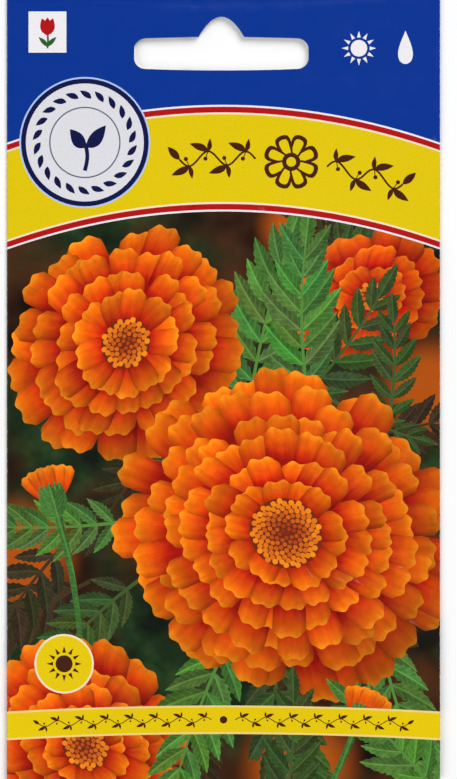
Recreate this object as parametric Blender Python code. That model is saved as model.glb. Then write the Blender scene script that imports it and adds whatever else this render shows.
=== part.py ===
"""A printed paper seed packet, lying on its back, with its seeds inside.

One sheet is folded into an envelope: the front panel, two side flaps that lap on the back, and a
bottom flap folded under them. A hang slot is punched through the header. Metres, +Z up: the back
lies on z = 0, the printed front faces up, and +Y runs along the packet towards the header.
"""

import math
import random

import bmesh
import bpy
from mathutils import Matrix, Vector

# The packet's outline
WIDTH = 0.080
LENGTH = 0.145

# The sheet, a little thicker than real paper, and the clearance between two plies
PAPER = 0.0002
PLY_GAP = 0.0003
PLY_STEP = PAPER + PLY_GAP

# The folds: how far each reaches past its fold line, and where the sheet's middle surface turns
SIDE_FOLD = PLY_STEP / 2
BOTTOM_FOLD = 0.0004
FOLD_SEGMENTS = 4
FOLD_X = WIDTH / 2 - PAPER / 2 - SIDE_FOLD
FOLD_Y = -LENGTH / 2 + PAPER / 2 + BOTTOM_FOLD
FLAP_MIDDLE_X = 0.020

# The lap of the two side flaps along the back
LAP_HALF = 0.006
FLAP_RISE = 0.003

# The bottom flap, and the notch that frees it from the side flaps
FLAP_EDGE_Y = -LENGTH / 2 + 0.014
BOTTOM_HALF = 0.038
BOTTOM_TAPER = 0.002
NOTCH_Y = -LENGTH / 2 + 0.0006

# The front passes over the lap and the bottom flap in wider, softer slopes
SOFT_LAP_HALF = 0.010
SOFT_LAP_END = 0.038
SOFT_FLAP_Y = -0.0550
SOFT_FLAP_END_Y = -0.0300

# How far the seeds lift the front over the pouch
SWELL = 0.0018
POUCH_HALF = 0.0385
POUCH_FOOT = -0.0700
POUCH_FULL_FROM = -0.0460
POUCH_FULL_TO = 0.0050
POUCH_HEAD = 0.0500

# How finely the front panel is divided, so that it follows the swell
FRONT_COLUMNS = 23
FOOT_ROWS = (-0.0690, FLAP_EDGE_Y, 4)
LOW_POUCH_ROWS = (-0.0520, 0.0020, 13)
HIGH_POUCH_ROWS = (0.0070, POUCH_HEAD, 10)

# The hang slot: a long body with round corners and slightly bowed edges, and an arch on top
SLOT_CENTRE_X = -0.0004
SLOT_WIDTH = 0.0322
SLOT_BOTTOM = 0.0589
SLOT_TOP = 0.0651
SLOT_CORNER = 0.0021
SLOT_BOW = 0.00035
ARCH_WIDTH = 0.0084
ARCH_TOP = 0.0688
CORNER_POINTS = 5
EDGE_POINTS = 5
ARCH_POINTS = 11
CUTTER_HEIGHTS = (-0.002, 0.004)

# Glue strips fill the gap between two plies, a little clear of both
GLUE_CLEAR = 0.0001
LAP_GLUE_HALF = 0.004
LAP_GLUE_ENDS = (-0.0690, 0.0560)
BOTTOM_GLUE_HALF = 0.034
BOTTOM_GLUE_ENDS = (-0.0700, -0.0620)
POUCH_GLUE_HALF = 0.038
POUCH_GLUE_ENDS = (0.0510, 0.0560)
POUCH_GLUE_COLUMNS = (0.0140, POUCH_GLUE_HALF, 6)

# Seeds: a profile's pairs are the share of the length and the share of the radius
SEED_COUNT = 12
ACHENE_LENGTH = 0.0080
ACHENE_RADIUS = 0.00045
ACHENE_PROFILE = ((0.0, 0.35), (0.12, 0.62), (0.40, 0.90), (0.72, 1.0), (0.93, 0.92), (1.0, 0.60))
TUFT_LENGTH = 0.0042
TUFT_RADIUS = 0.00050
TUFT_PROFILE = ((0.3, 0.8), (0.6, 1.0))
TUFT_POINT = 0.4
TUFT_HOLLOW = 0.35
SEED_SIDES = 8
SEED_AXIS_POINTS = 9
SEED_REST_GAP = 0.0003
SEED_SPACING = 0.0010
SEED_FIELD = (-0.025, 0.025, -0.048, -0.004)
SEED_DRAW = 5

# Materials: colour, roughness
PRINTED_PAPER = ((0.80, 0.20, 0.01, 1.0), 0.30)
DRIED_GLUE = ((0.72, 0.66, 0.50, 1.0), 0.45)
SEED_COAT = ((0.03, 0.024, 0.02, 1.0), 0.60)


def clear_scene():
    for old in list(bpy.data.objects):
        bpy.data.objects.remove(old, do_unlink=True)


def make_material(name, look):
    colour, roughness = look
    material = bpy.data.materials.new(name)
    material.use_nodes = True
    shader = material.node_tree.nodes["Principled BSDF"]
    shader.inputs["Base Color"].default_value = colour
    shader.inputs["Roughness"].default_value = roughness
    shader.inputs["Metallic"].default_value = 0.0
    material.diffuse_color = colour
    return material


def add_object(name, mesh, material):
    if not mesh.materials:
        mesh.materials.append(material)
    made = bpy.data.objects.new(name, mesh)
    bpy.context.scene.collection.objects.link(made)
    return made


def mesh_from(name, points, faces):
    mesh = bpy.data.meshes.new(name)
    mesh.from_pydata(points, [], faces)
    mesh.validate()
    return mesh


def smooth_step(share):
    share = min(max(share, 0.0), 1.0)
    return share * share * (3.0 - 2.0 * share)


def spread(start, end, count):
    return [start + (end - start) * step / (count - 1) for step in range(count)]


# Heights of each ply's middle surface

def lap_rise(x):
    """1 where both side flaps lie on each other, falling to 0 beside the lap."""
    return smooth_step((LAP_HALF + FLAP_RISE - abs(x)) / FLAP_RISE)


def bottom_rise(y):
    """1 where the bottom flap lies under the side flaps, falling to 0 past its free edge."""
    return smooth_step((FLAP_EDGE_Y + FLAP_RISE - y) / FLAP_RISE)


def soft_rise(x, y):
    """The plies under the front, as the stiff sheet of the front follows them."""
    over_lap = smooth_step((SOFT_LAP_END - abs(x)) / (SOFT_LAP_END - SOFT_LAP_HALF))
    over_flap = smooth_step((SOFT_FLAP_END_Y - y) / (SOFT_FLAP_END_Y - SOFT_FLAP_Y))
    return over_lap + over_flap


def swell(x, y):
    """How far the front stands up over the seeds."""
    across = max(1.0 - (x / POUCH_HALF) ** 4, 0.0) ** 2
    up = smooth_step((y - POUCH_FOOT) / (POUCH_FULL_FROM - POUCH_FOOT))
    down = smooth_step((POUCH_HEAD - y) / (POUCH_HEAD - POUCH_FULL_TO))
    return SWELL * across * up * down


def bottom_flap_height(x, y):
    return PAPER / 2


def outer_flap_height(x, y):
    return PAPER / 2 + PLY_STEP * bottom_rise(y)


def inner_flap_height(x, y):
    return outer_flap_height(x, y) + PLY_STEP * lap_rise(x)


def front_height(x, y):
    return PAPER / 2 + PLY_STEP * (1.0 + soft_rise(x, y)) + swell(x, y)


# The folded sheet

def front_stations():
    return [-FOLD_X] + spread(-BOTTOM_HALF, BOTTOM_HALF, FRONT_COLUMNS) + [FOLD_X]


def main_rows():
    foot = [FOLD_Y, NOTCH_Y] + spread(*FOOT_ROWS)
    slope = [FLAP_EDGE_Y + FLAP_RISE / 2, FLAP_EDGE_Y + FLAP_RISE]
    pouch = spread(*LOW_POUCH_ROWS) + spread(*HIGH_POUCH_ROWS)
    return foot + slope + pouch + [LENGTH / 2]


def fold_arc():
    """Reach past the fold line, and share of the way down, along a half turn."""
    turns = [math.pi * step / FOLD_SEGMENTS for step in range(1, FOLD_SEGMENTS + 1)]
    return [(math.sin(turn), (1.0 - math.cos(turn)) / 2) for turn in turns]


def add_point(points, point):
    points.append(point)
    return len(points) - 1


def quad_strip(faces, first, second):
    for near, far, far_next, near_next in zip(first, second, second[1:], first[1:]):
        faces.append((near, far, far_next, near_next))


def front_panel(points, faces):
    columns = []
    for x in front_stations():
        columns.append([add_point(points, (x, y, front_height(x, y))) for y in main_rows()])
    for left, right in zip(columns, columns[1:]):
        quad_strip(faces, left, right)
    return columns


def side_flap(points, faces, edge_column, side):
    """The fold and the flap on one side, joined to that edge of the front panel."""
    rows = [(row, y) for row, y in enumerate(main_rows()) if y >= NOTCH_Y]
    column = [edge_column[row] for row, y in rows]
    stations = []
    for reach, share in fold_arc():
        stations.append((side * (FOLD_X + SIDE_FOLD * reach), share))
    flap_height, flap_stations = flap_course(side)
    stations += [(x, 1.0) for x in flap_stations]
    for x, share in stations:
        following = []
        for row, y in rows:
            top = front_height(FOLD_X, y)
            height = top + (flap_height(x, y) - top) * share
            following.append(add_point(points, (x, y, height)))
        quad_strip(faces, *((column, following) if side > 0 else (following, column)))
        column = following


def flap_course(side):
    """The outer flap comes from the right and stays low, the inner one climbs onto it."""
    if side > 0:
        return outer_flap_height, [FLAP_MIDDLE_X, -LAP_HALF]
    slope = [-LAP_HALF - FLAP_RISE, -LAP_HALF - FLAP_RISE / 2]
    return inner_flap_height, [-FLAP_MIDDLE_X] + slope + [-LAP_HALF, LAP_HALF]


def bottom_flap(points, faces, columns):
    """The fold and the flap at the foot, joined to the front panel's lowest row."""
    stations = front_stations()
    chosen = [at for at, x in enumerate(stations) if abs(x) <= BOTTOM_HALF]
    row = [columns[at][0] for at in chosen]
    taper = 1.0 - BOTTOM_TAPER / BOTTOM_HALF
    courses = [(FOLD_Y - BOTTOM_FOLD * reach, share, 1.0) for reach, share in fold_arc()]
    for y, share, narrowing in courses + [(FLAP_EDGE_Y, 1.0, taper)]:
        following = []
        for at in chosen:
            x = stations[at]
            top = front_height(x, FOLD_Y)
            height = top + (bottom_flap_height(x, y) - top) * share
            following.append(add_point(points, (x * narrowing, y, height)))
        quad_strip(faces, row, following)
        row = following


def slot_outline():
    """The hang slot, counterclockwise from the foot of its arch on the right."""
    half = SLOT_WIDTH / 2 - SLOT_CORNER
    low = SLOT_BOTTOM + SLOT_CORNER
    high = SLOT_TOP - SLOT_CORNER
    outline = [arch_point(share) for share in spread(1.0, -1.0, ARCH_POINTS)]
    outline += slot_corner(-half, high, 90) + slot_corner(-half, low, 180)
    outline += [(x, SLOT_BOTTOM) for x in spread(-half, half, EDGE_POINTS)[1:-1]]
    outline += slot_corner(half, low, 270) + slot_corner(half, high, 360)
    return [bowed(x, y) for x, y in outline]


def arch_point(share):
    """A place on the arch, from its right foot at 1 over its top at 0 to its left foot at -1."""
    return share * ARCH_WIDTH / 2, SLOT_TOP + (ARCH_TOP - SLOT_TOP) * (1.0 - share ** 2)


def slot_corner(x, y, start):
    turns = spread(math.radians(start), math.radians(start + 90), CORNER_POINTS)
    return [(x + SLOT_CORNER * math.cos(turn), y + SLOT_CORNER * math.sin(turn)) for turn in turns]


def bowed(x, y):
    """Moves a place on the slot onto its bowed edges, and the slot to its centre."""
    middle = (SLOT_TOP + SLOT_BOTTOM) / 2
    narrowing = 2 * SLOT_BOW / (SLOT_TOP - SLOT_BOTTOM) * (x / (SLOT_WIDTH / 2)) ** 2
    return SLOT_CENTRE_X + x, middle + (y - middle) * (1.0 - narrowing)


def slot_cutter():
    outline = slot_outline()
    count = len(outline)
    points = [(x, y, height) for height in CUTTER_HEIGHTS for x, y in outline]
    faces = [tuple(reversed(range(count))), tuple(range(count, 2 * count))]
    for at in range(count):
        after = (at + 1) % count
        faces.append((at, after, count + after, count + at))
    cutter = bpy.data.objects.new("slot_cutter", mesh_from("slot_cutter", points, faces))
    bpy.context.scene.collection.objects.link(cutter)
    cutter.display_type = "WIRE"
    cutter.hide_render = True
    return cutter


def build_wrapper():
    points = []
    faces = []
    columns = front_panel(points, faces)
    side_flap(points, faces, columns[0], -1)
    side_flap(points, faces, columns[-1], 1)
    bottom_flap(points, faces, columns)
    mesh = mesh_from("wrapper", points, faces)
    mesh.shade_smooth()
    wrapper = add_object("wrapper", mesh, make_material("printed_paper", PRINTED_PAPER))
    thickness = wrapper.modifiers.new("paper", "SOLIDIFY")
    thickness.thickness = PAPER
    thickness.offset = 0.0
    punch = wrapper.modifiers.new("hang_slot", "BOOLEAN")
    punch.operation = "DIFFERENCE"
    punch.solver = "EXACT"
    punch.object = slot_cutter()


# Glue strips

def glue_strip(name, xs, ys, lower, upper, material):
    """A thin strip over a grid of places, from the ply below to the ply above it."""
    inset = PAPER / 2 + GLUE_CLEAR
    points = [(x, y, lower(x, y) + inset) for x in xs for y in ys]
    points += [(x, y, upper(x, y) - inset) for x in xs for y in ys]
    rows = len(ys)
    layer = len(xs) * rows
    faces = []
    for column in range(len(xs) - 1):
        for row in range(rows - 1):
            at = column * rows + row
            cell = (at, at + rows, at + rows + 1, at + 1)
            faces.append(tuple(reversed(cell)))
            faces.append(tuple(corner + layer for corner in cell))
    rim = [column * rows for column in range(len(xs))]
    rim += [(len(xs) - 1) * rows + row for row in range(1, rows)]
    rim += [column * rows + rows - 1 for column in reversed(range(len(xs) - 1))]
    rim += list(reversed(range(1, rows - 1)))
    for at, after in zip(rim, rim[1:] + rim[:1]):
        faces.append((at, after, after + layer, at + layer))
    add_object(name, mesh_from(name, points, faces), material)


def build_glue():
    material = make_material("dried_glue", DRIED_GLUE)
    slope = [FLAP_EDGE_Y, FLAP_EDGE_Y + FLAP_RISE / 2, FLAP_EDGE_Y + FLAP_RISE]
    rows = [LAP_GLUE_ENDS[0]] + slope + [LAP_GLUE_ENDS[1]]
    glue_strip("lap_seam_glue", [-LAP_GLUE_HALF, LAP_GLUE_HALF], rows,
               outer_flap_height, inner_flap_height, material)
    glue_strip("bottom_flap_glue", [-BOTTOM_GLUE_HALF, BOTTOM_GLUE_HALF], list(BOTTOM_GLUE_ENDS),
               bottom_flap_height, outer_flap_height, material)
    lap = [LAP_HALF, LAP_HALF + FLAP_RISE / 2, LAP_HALF + FLAP_RISE]
    right = lap + spread(*POUCH_GLUE_COLUMNS)
    across = [-x for x in reversed(right)] + right
    glue_strip("pouch_seal_glue", across, list(POUCH_GLUE_ENDS),
               inner_flap_height, front_height, material)


# Seeds

def seed_mesh():
    """A slim achene along +X, tapered at its foot, with a tuft of pointed scales at its head."""
    made = bmesh.new()
    rings = []
    for along, width in ACHENE_PROFILE:
        rings.append(seed_ring(made, along * ACHENE_LENGTH, width * ACHENE_RADIUS, 0.0))
    points = (0.0, TUFT_POINT * TUFT_LENGTH)
    for (along, width), point in zip(TUFT_PROFILE, points):
        rings.append(seed_ring(made, ACHENE_LENGTH + along * TUFT_LENGTH, width * TUFT_RADIUS, point))
    for first, second in zip(rings, rings[1:]):
        for at in range(SEED_SIDES):
            after = (at + 1) % SEED_SIDES
            made.faces.new((first[at], second[at], second[after], first[after]))
    made.faces.new(rings[0])
    hollow = made.verts.new((ACHENE_LENGTH + TUFT_HOLLOW * TUFT_LENGTH, 0.0, 0.0))
    for at in range(SEED_SIDES):
        made.faces.new((rings[-1][at], hollow, rings[-1][(at + 1) % SEED_SIDES]))
    bmesh.ops.recalc_face_normals(made, faces=made.faces)
    mesh = bpy.data.meshes.new("seed")
    made.to_mesh(mesh)
    made.free()
    mesh.shade_smooth()
    return mesh


def seed_ring(made, x, radius, point_length):
    """One ring of the seed, every other corner drawn out into a scale's point."""
    ring = []
    for at in range(SEED_SIDES):
        turn = 2 * math.pi * at / SEED_SIDES
        reach = point_length if at % 2 == 0 else 0.0
        ring.append(made.verts.new((x + reach, radius * math.cos(turn), radius * math.sin(turn))))
    return ring


def seed_axis(x, y, turn):
    """The seed's middle line, as points from its foot to its tuft."""
    run = Vector((math.cos(turn), math.sin(turn))) * (ACHENE_LENGTH + TUFT_LENGTH)
    return [Vector((x, y)) + run * share for share in spread(-0.5, 0.5, SEED_AXIS_POINTS)]


def lies_free(axis, others):
    apart = 2 * TUFT_RADIUS + SEED_SPACING
    return all((here - there).length >= apart for other in others for there in other for here in axis)


def resting_height(axis):
    """The height of the seed's middle line, or None where the front is too low over it."""
    floor = max(inner_flap_height(point.x, point.y) for point in axis) + PAPER / 2
    ceiling = min(front_height(point.x, point.y) for point in axis) - PAPER / 2
    height = floor + SEED_REST_GAP + TUFT_RADIUS
    return height if height + TUFT_RADIUS + SEED_REST_GAP <= ceiling else None


def build_seeds():
    """Loose seeds, each drawn at random until it lies clear of those before it."""
    material = make_material("seed_coat", SEED_COAT)
    mesh = seed_mesh()
    draw = random.Random(SEED_DRAW)
    left, right, low, high = SEED_FIELD
    axes = []
    while len(axes) < SEED_COUNT:
        turn = draw.uniform(-math.pi, math.pi)
        axis = seed_axis(draw.uniform(left, right), draw.uniform(low, high), turn)
        height = resting_height(axis)
        if height is None or not lies_free(axis, axes):
            continue
        axes.append(axis)
        seed = add_object(f"seed_{len(axes):02d}", mesh, material)
        foot = Matrix.Translation((axis[0].x, axis[0].y, height))
        seed.matrix_world = foot @ Matrix.Rotation(turn, 4, "Z")


def main():
    clear_scene()
    build_wrapper()
    build_glue()
    build_seeds()


main()
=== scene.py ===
"""The looks of a seed packet: its printed, folded paper, its glue and its seeds.

The wrapper starts as its flat sheet. Each printed shape has an outline on it, in millimetres. The
shapes are cut into one layer of triangles, the slot is punched out, and the layer is folded into the
packet, so that the print runs round the folds as real print does.
"""

import math
import random

import bpy
import numpy as np
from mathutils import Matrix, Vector
from mathutils.geometry import delaunay_2d_cdt


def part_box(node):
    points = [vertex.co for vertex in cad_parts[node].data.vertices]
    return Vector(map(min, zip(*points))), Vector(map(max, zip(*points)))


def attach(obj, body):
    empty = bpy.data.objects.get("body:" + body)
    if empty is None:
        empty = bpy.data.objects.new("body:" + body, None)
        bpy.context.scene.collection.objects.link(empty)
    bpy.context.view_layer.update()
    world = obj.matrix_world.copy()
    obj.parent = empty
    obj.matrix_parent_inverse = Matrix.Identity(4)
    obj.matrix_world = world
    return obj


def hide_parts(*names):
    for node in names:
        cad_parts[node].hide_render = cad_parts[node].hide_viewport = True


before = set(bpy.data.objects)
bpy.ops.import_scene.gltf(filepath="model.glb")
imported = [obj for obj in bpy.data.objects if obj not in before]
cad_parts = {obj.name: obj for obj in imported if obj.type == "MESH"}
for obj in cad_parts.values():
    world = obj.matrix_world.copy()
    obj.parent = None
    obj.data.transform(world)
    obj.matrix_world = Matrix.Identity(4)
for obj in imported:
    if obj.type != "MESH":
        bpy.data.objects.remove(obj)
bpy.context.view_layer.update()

MM = 0.001

# The packet's outline, from the frame, in millimetres
HALF_WIDTH, HALF_LENGTH = (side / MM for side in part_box("wrapper")[1][:2])

# The sheet and its folds, in millimetres, as in the solids
PAPER = 0.2
PLY_STEP = 0.5
SIDE_FOLD = PLY_STEP / 2
BOTTOM_FOLD = 0.4
FOLD_X = HALF_WIDTH - PAPER / 2 - SIDE_FOLD
FOLD_Y = -HALF_LENGTH + PAPER / 2 + BOTTOM_FOLD
SIDE_ARC = math.pi * SIDE_FOLD
FOOT_ARC = 1.7
FOLD_STEPS = 6
LAP_HALF = 6
FLAP_RISE = 3
FLAP_STEPS = 4
FLAP_EDGE_Y = -HALF_LENGTH + 14
FOOT_HALF = 38
FOOT_END_HALF = 36
NOTCH_Y = -HALF_LENGTH + 0.6
SWELL = 1.8
POUCH_HALF = 38.5

# Where each of the front's soft rises is full, and where it ends
OVER_LAP = (10, 38)
OVER_FLAP = (-55, -30)
POUCH_FOOT = (-46, -70)
POUCH_HEAD = (5, 50)

# Where the flaps start and end on the flat sheet. A place on the back at x lies at BACK_TURN, less x
TURN_U = FOLD_X + SIDE_ARC
TURN_V = FOLD_Y - FOOT_ARC
BACK_TURN = 2 * FOLD_X + SIDE_ARC
SHEET_END_U = BACK_TURN + LAP_HALF
SHEET_END_V = TURN_V - (FLAP_EDGE_Y - FOLD_Y)

# The hang slot
SLOT_CENTRE_X = -0.4
SLOT_WIDTH = 32.2
SLOT_BOTTOM = 58.9
SLOT_TOP = 65.1
SLOT_CORNER = 2.1
SLOT_BOW = 0.35
ARCH_WIDTH = 8.4
ARCH_TOP = 68.8
CORNER_POINTS = 12
EDGE_POINTS = 17
ARCH_POINTS = 33

# The front's relief: what the seeds and the lap press through, and slack in the paper
SEED_BUMP = 0.13
SEED_BUMP_WIDTH = 1.2
LAP_BUMP = 0.035
LAP_BUMP_WIDTH = 0.8
RELIEF_FADE = 5
SLACK = 0.035
CREASE = 1.4
CREASE_WIDTH = 1.6
CREASE_RUN = (2, 12)
CREASE_X = 14
CREASE_Y = -66
CREASE_OUT = 0.8
CREASE_DOWN = 0.6

# How finely the sheet is divided
FRONT_GRID = 1.5
BACK_GRID = 4
INSIDE_GRID = 3.2
ROW_SHARE = 0.87
EDGE_CLEAR = 0.5
MERGE = 1e-5
WHOLE_HULL = 0
SHARP_ANGLE = math.radians(50)

# The sheet is cut along its outline, slots and printed shapes, counted in that order
OUTLINE = 0
SLOTS = {1, 2, 3}
FIRST_PRINTED = 4

# The map for baking: across from flap to flap, up from bottom flap to header, and inside and edges
MAP_ACROSS = (-SHEET_END_U, -TURN_U, TURN_U, SHEET_END_U), (0.004, 0.19, 0.756, 0.942)
MAP_UP = (SHEET_END_V, TURN_V, HALF_LENGTH), (0.004, 0.05, 0.996)
MAP_INSIDE = (0.952, 0.005)
MAP_INSIDE_SCALE = 0.00025
MAP_EDGES = (0.952, 0.1)
MAP_EDGE_RUN = 0.04
MAP_EDGE_SCALE = 0.001
MAP_EDGE_ROW = 0.012

# How values are stored on the mesh, by how many a place has: their sort and their field
STORED = {1: ("FLOAT", "value"), 3: ("FLOAT_VECTOR", "vector"), 4: ("FLOAT_COLOR", "color")}

# The kinds of printed shape
FLAT, BACKDROP, SOFT, LEAF, PETAL = range(5)

# Inks, in linear colour
BLUE = (0.0005, 0.032, 0.275)
NAVY = (0.004, 0.006, 0.06)
SKY = (0.42, 0.56, 0.85)
SLATE = (0.1, 0.12, 0.18)
YELLOW = (0.725, 0.54, 0.001)
GOLD = (0.79, 0.57, 0.001)
CREAM = (0.88, 0.64, 0.24)
PALE = (0.86, 0.74, 0.56)
RED = (0.43, 0.004, 0.006)
ORANGE = (0.8, 0.16, 0.004)
FAR_ORANGE = (0.9, 0.16, 0.004)
WHITE = (0.82, 0.8, 0.83)
DISC = (0.69, 0.69, 0.73)
PAPER_WHITE = (0.83, 0.82, 0.79)
GREY = (0.4, 0.42, 0.36)
BROWN = (0.055, 0.012, 0.003)
SOIL = (0.12, 0.05, 0.022)
STRAW = (0.5, 0.36, 0.2)
GREEN = (0.02, 0.11, 0.02)
DEEP_GREEN = (0.03, 0.022, 0.009)
MIDDLE_GREEN = (0.034, 0.064, 0.015)
NEAR_GREEN = (0.058, 0.156, 0.026)
STALK_GREEN = (0.04, 0.12, 0.022)
CUP_GREEN = (0.05, 0.15, 0.028)
FLORET_GROUND = (0.16, 0.022, 0.004)
FULL_TINT = (1, 1, 1)
FAR_TINT = (0.9, 0.72, 0.6)
BUD_TINT = (1, 0.9, 0.9)

# The print's bands across the front, in millimetres
BLEED = 42
WHOLE = SHEET_END_U + 2
FOOT_BLEED = TURN_V - 1.5
ARC_RISE = 7
BAND_TOP = 45.2
BAND_BOTTOM = 26.2
PINSTRIPE = 0.35
RED_STRIPE = 1.05
FOOTER_TOP = -59.8
FOOTER_BOTTOM = -64.4
FOOTER_RISE = 1.2

# Vines: each leaf's lean and size, then each run's start, end and points, its swing, bends and leaf
VINE_LEAVES = ((0.62, 1), (1.95, 0.66))
VINE_LEAF_WIDTH = 0.19
BAND_VINE = (6.6, 20.6, 49), 1.3, 4, 3.6
FOOTER_VINE = (2.2, 34, 113), 0.5, 14, 1.55

# The band's blossom: the length, half width and ink of its petals and of their insides
BLOSSOM_X = 12.5
BLOSSOM_PETALS = 8
BLOSSOM_PARTS = ((5.2, 1.45, BROWN), (4.4, 0.85, YELLOW))

# The roundel, the sun disc and the header's signs
ROUNDEL = (-25.6, 45.6)
ROUNDEL_SPROUT = (-25.6, 45)
WREATH_RADIUS = 8.2
WREATH_LEAVES = 22
SUN_DISC = (-29.4, -50.6)
HEADER_SUN = (25, 63)
HEADER_DROP = (33.6, 63.2)
TULIP = (-32.5, 66)
TULIP_FRAME = (-36, 62.2, -29, 69.8)

# The picture: blooms out of focus, strewn sprays by tone, count and length, and random draws' start
SOFT_BLOOMS = (((14, 30), 9), ((38, 0), 11), ((-38, -31), 13), ((14, -70), 13))
STREWN = ((DEEP_GREEN, 14, 22), (MIDDLE_GREEN, 11, 20))
STREWN_X = (-38, 38)
STREWN_Y = (-70, 24)
LARGE_ROWS = ((27, 1), (26, 0.87), (24, 0.74), (21, 0.61), (17, 0.48), (13, 0.35))
PRINT_DRAW = 11

# The back's print
BACK_HALF = 33
SIGNS_Y = 14.5
MONTHS = 12
MONTH_WIDTH = 5.5
MONTH_HEIGHT = 4.6
MONTHS_Y = 0.5
MONTH_ROWS = ((3, 5, GREEN), (6, 9, ORANGE))
MONTH_BOXES = ((5.5, 0, 0, 4.6), (5.25, 0.25, 0.25, 4.35), (4.95, 0.6, 0.55, 4))
SOIL_TOP = -25
SOIL_FOOT = -36
SEEDLINGS_Y = -29
SEEDLINGS = ((26, 0), (15, 1.6), (4, 3), (-8, 4.6), (-21, 6.4))
RULES_Y = (-44, -49, -54)
RULE_WIDTH = 0.3

# Colour ramps: each stop's place and colour
BACKDROP_GREENS = (
    (0.36, (0.003, 0.006, 0.003)),
    (0.52, (0.01, 0.028, 0.008)),
    (0.68, (0.034, 0.07, 0.018)),
)
BACKDROP_BROWNS = ((0.35, (0.006, 0.002, 0.001)), (0.7, (0.085, 0.026, 0.007)))
PETAL_BLADE = (
    (0, (0.3, 0.003, 0.001)),
    (0.18, (0.47, 0.013, 0.001)),
    (0.45, (0.66, 0.06, 0.001)),
    (0.78, (0.79, 0.14, 0.001)),
    (0.96, (0.88, 0.27, 0.008)),
)
GLUE_TONES = ((0.3, (0.62, 0.54, 0.38)), (0.7, (0.8, 0.75, 0.62)))
SEED_TONES = ((0.35, (0.012, 0.01, 0.009)), (0.7, (0.06, 0.045, 0.034)))
FLOOR_TONES = ((0.3, (0.92, 0.92, 0.92)), (0.7, (0.94, 0.94, 0.94)))

# The photograph's frame and the packet's edges in it, in pixels
PHOTO_WIDTH_PX = 457
PHOTO_HEIGHT_PX = 779
PACKET_LEFT_PX = 7
PACKET_RIGHT_PX = 440

# The stage, in metres and watts. Lights are a name, place, size and power.
CAMERA_HEIGHT = 1.2
SENSOR = 36
FLOOR_HALF = 4
FLOOR_DROP = 0.00005
WORLD_LIGHT = 0.28
LIGHTS = (
    ("key", (1, 1.4, 1.8), 1.8, 48),
    ("fill", (-1.6, -1, 1.7), 2, 26),
    ("sheen", (-0.5, 1.9, 1.1), 1.2, 4),
)


# The folded sheet

def columns(*parts):
    return np.stack(parts, axis=1)


def fade(value, full, end):
    """1 as far as full, then smoothly down to 0 at end."""
    share = np.clip((end - value) / (end - full), 0.0, 1.0)
    return share * share * (3.0 - 2.0 * share)


def swell(x, y):
    """How far the seeds push the front up."""
    across = np.clip(1.0 - (x / POUCH_HALF) ** 4, 0.0, 1.0) ** 2
    return SWELL * across * fade(y, *POUCH_FOOT) * fade(y, *POUCH_HEAD)


def seed_lines():
    """Each seed's two ends, in millimetres, from its node."""
    lines = []
    for name, node in sorted(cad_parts.items()):
        if name.startswith("seed_"):
            corners = np.array([vertex.co[:2] for vertex in node.data.vertices]) / MM
            middle = corners.mean(axis=0)
            run = np.linalg.svd(corners - middle)[2][0]
            reach = (corners - middle) @ run
            lines.append((middle + run * reach.min(), middle + run * reach.max()))
    return lines


SEED_LINES = seed_lines()


def seed_bumps(x, y):
    place = columns(x, y)
    height = np.zeros(len(x))
    for start, end in SEED_LINES:
        run = end - start
        share = np.clip((place - start) @ run / (run @ run), 0.0, 1.0)
        apart = np.linalg.norm(place - start - share[:, None] * run, axis=1)
        height = np.maximum(height, SEED_BUMP * np.exp(-((apart / SEED_BUMP_WIDTH) ** 2)))
    return height


def slack(x, y):
    """Slow waves in the paper, and two soft creases that run in from the pouch's lower corners."""
    waves = np.sin(0.11 * x + 0.9) * np.sin(0.083 * y + 0.4) + 0.6 * np.sin(0.19 * x - 0.13 * y)
    creases = np.zeros(len(x))
    for side in (-1.0, 1.0):
        out, up = side * x - CREASE_X, y - CREASE_Y
        along = out * CREASE_OUT - up * CREASE_DOWN
        across = out * CREASE_DOWN + up * CREASE_OUT
        creases += np.exp(-((across / CREASE_WIDTH) ** 2)) * fade(np.abs(along), *CREASE_RUN)
    return SLACK * (waves + CREASE * creases)


def relief(x, y):
    clear = fade(np.abs(x), FOLD_X - RELIEF_FADE, FOLD_X) * fade(y, FOLD_Y + RELIEF_FADE, FOLD_Y)
    lap_edges = sum(np.exp(-(((x - edge) / LAP_BUMP_WIDTH) ** 2)) for edge in (-LAP_HALF, LAP_HALF))
    return clear * (seed_bumps(x, y) + LAP_BUMP * lap_edges + slack(x, y))


def outer_flap_height(y):
    return PAPER / 2 + PLY_STEP * fade(y, FLAP_EDGE_Y, FLAP_EDGE_Y + FLAP_RISE)


def inner_flap_height(x, y):
    return outer_flap_height(y) + PLY_STEP * fade(np.abs(x), LAP_HALF, LAP_HALF + FLAP_RISE)


def front_height(x, y):
    plies = fade(np.abs(x), *OVER_LAP) + fade(y, *OVER_FLAP)
    return PAPER / 2 + PLY_STEP * (1.0 + plies) + swell(x, y)


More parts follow.
